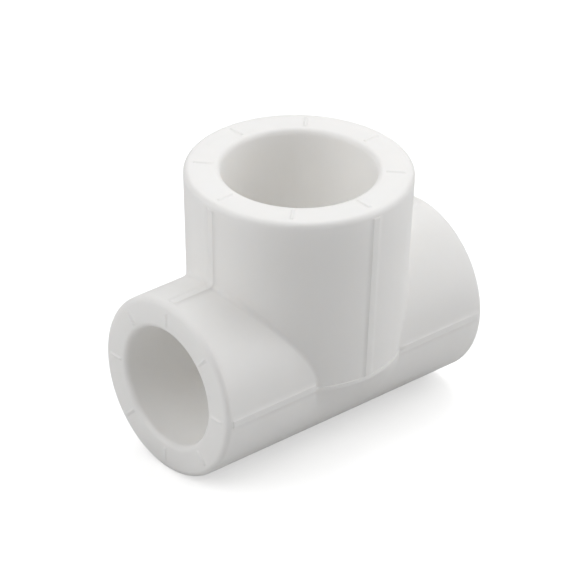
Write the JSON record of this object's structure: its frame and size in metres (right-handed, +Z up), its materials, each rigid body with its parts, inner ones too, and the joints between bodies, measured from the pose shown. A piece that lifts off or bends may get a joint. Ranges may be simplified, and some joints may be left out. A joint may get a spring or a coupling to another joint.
{
  "type": "reducing tee fitting",
  "caption": "Plastic socket-fusion reducing tee: a straight run with sockets at its ends and a wider socketed branch at right angles, with raised alignment ribs and end-face marks.",
  "frame": {"origin": "bottom of the part, on the flat rib under the run, straight below the crossing of the run's axis and the branch's axis", "axes": "+X along the run, +Z up the branch's axis and out of its mouth, Y across both"},
  "size_m": [0.0526, 0.0354, 0.0438],
  "materials": {
    "moulded_polypropylene": "satin near-white moulded polypropylene with a fine mould texture"
  },
  "bodies": {
    "root": {"tee_body": "moulded_polypropylene"}
  },
  "joints": []
}
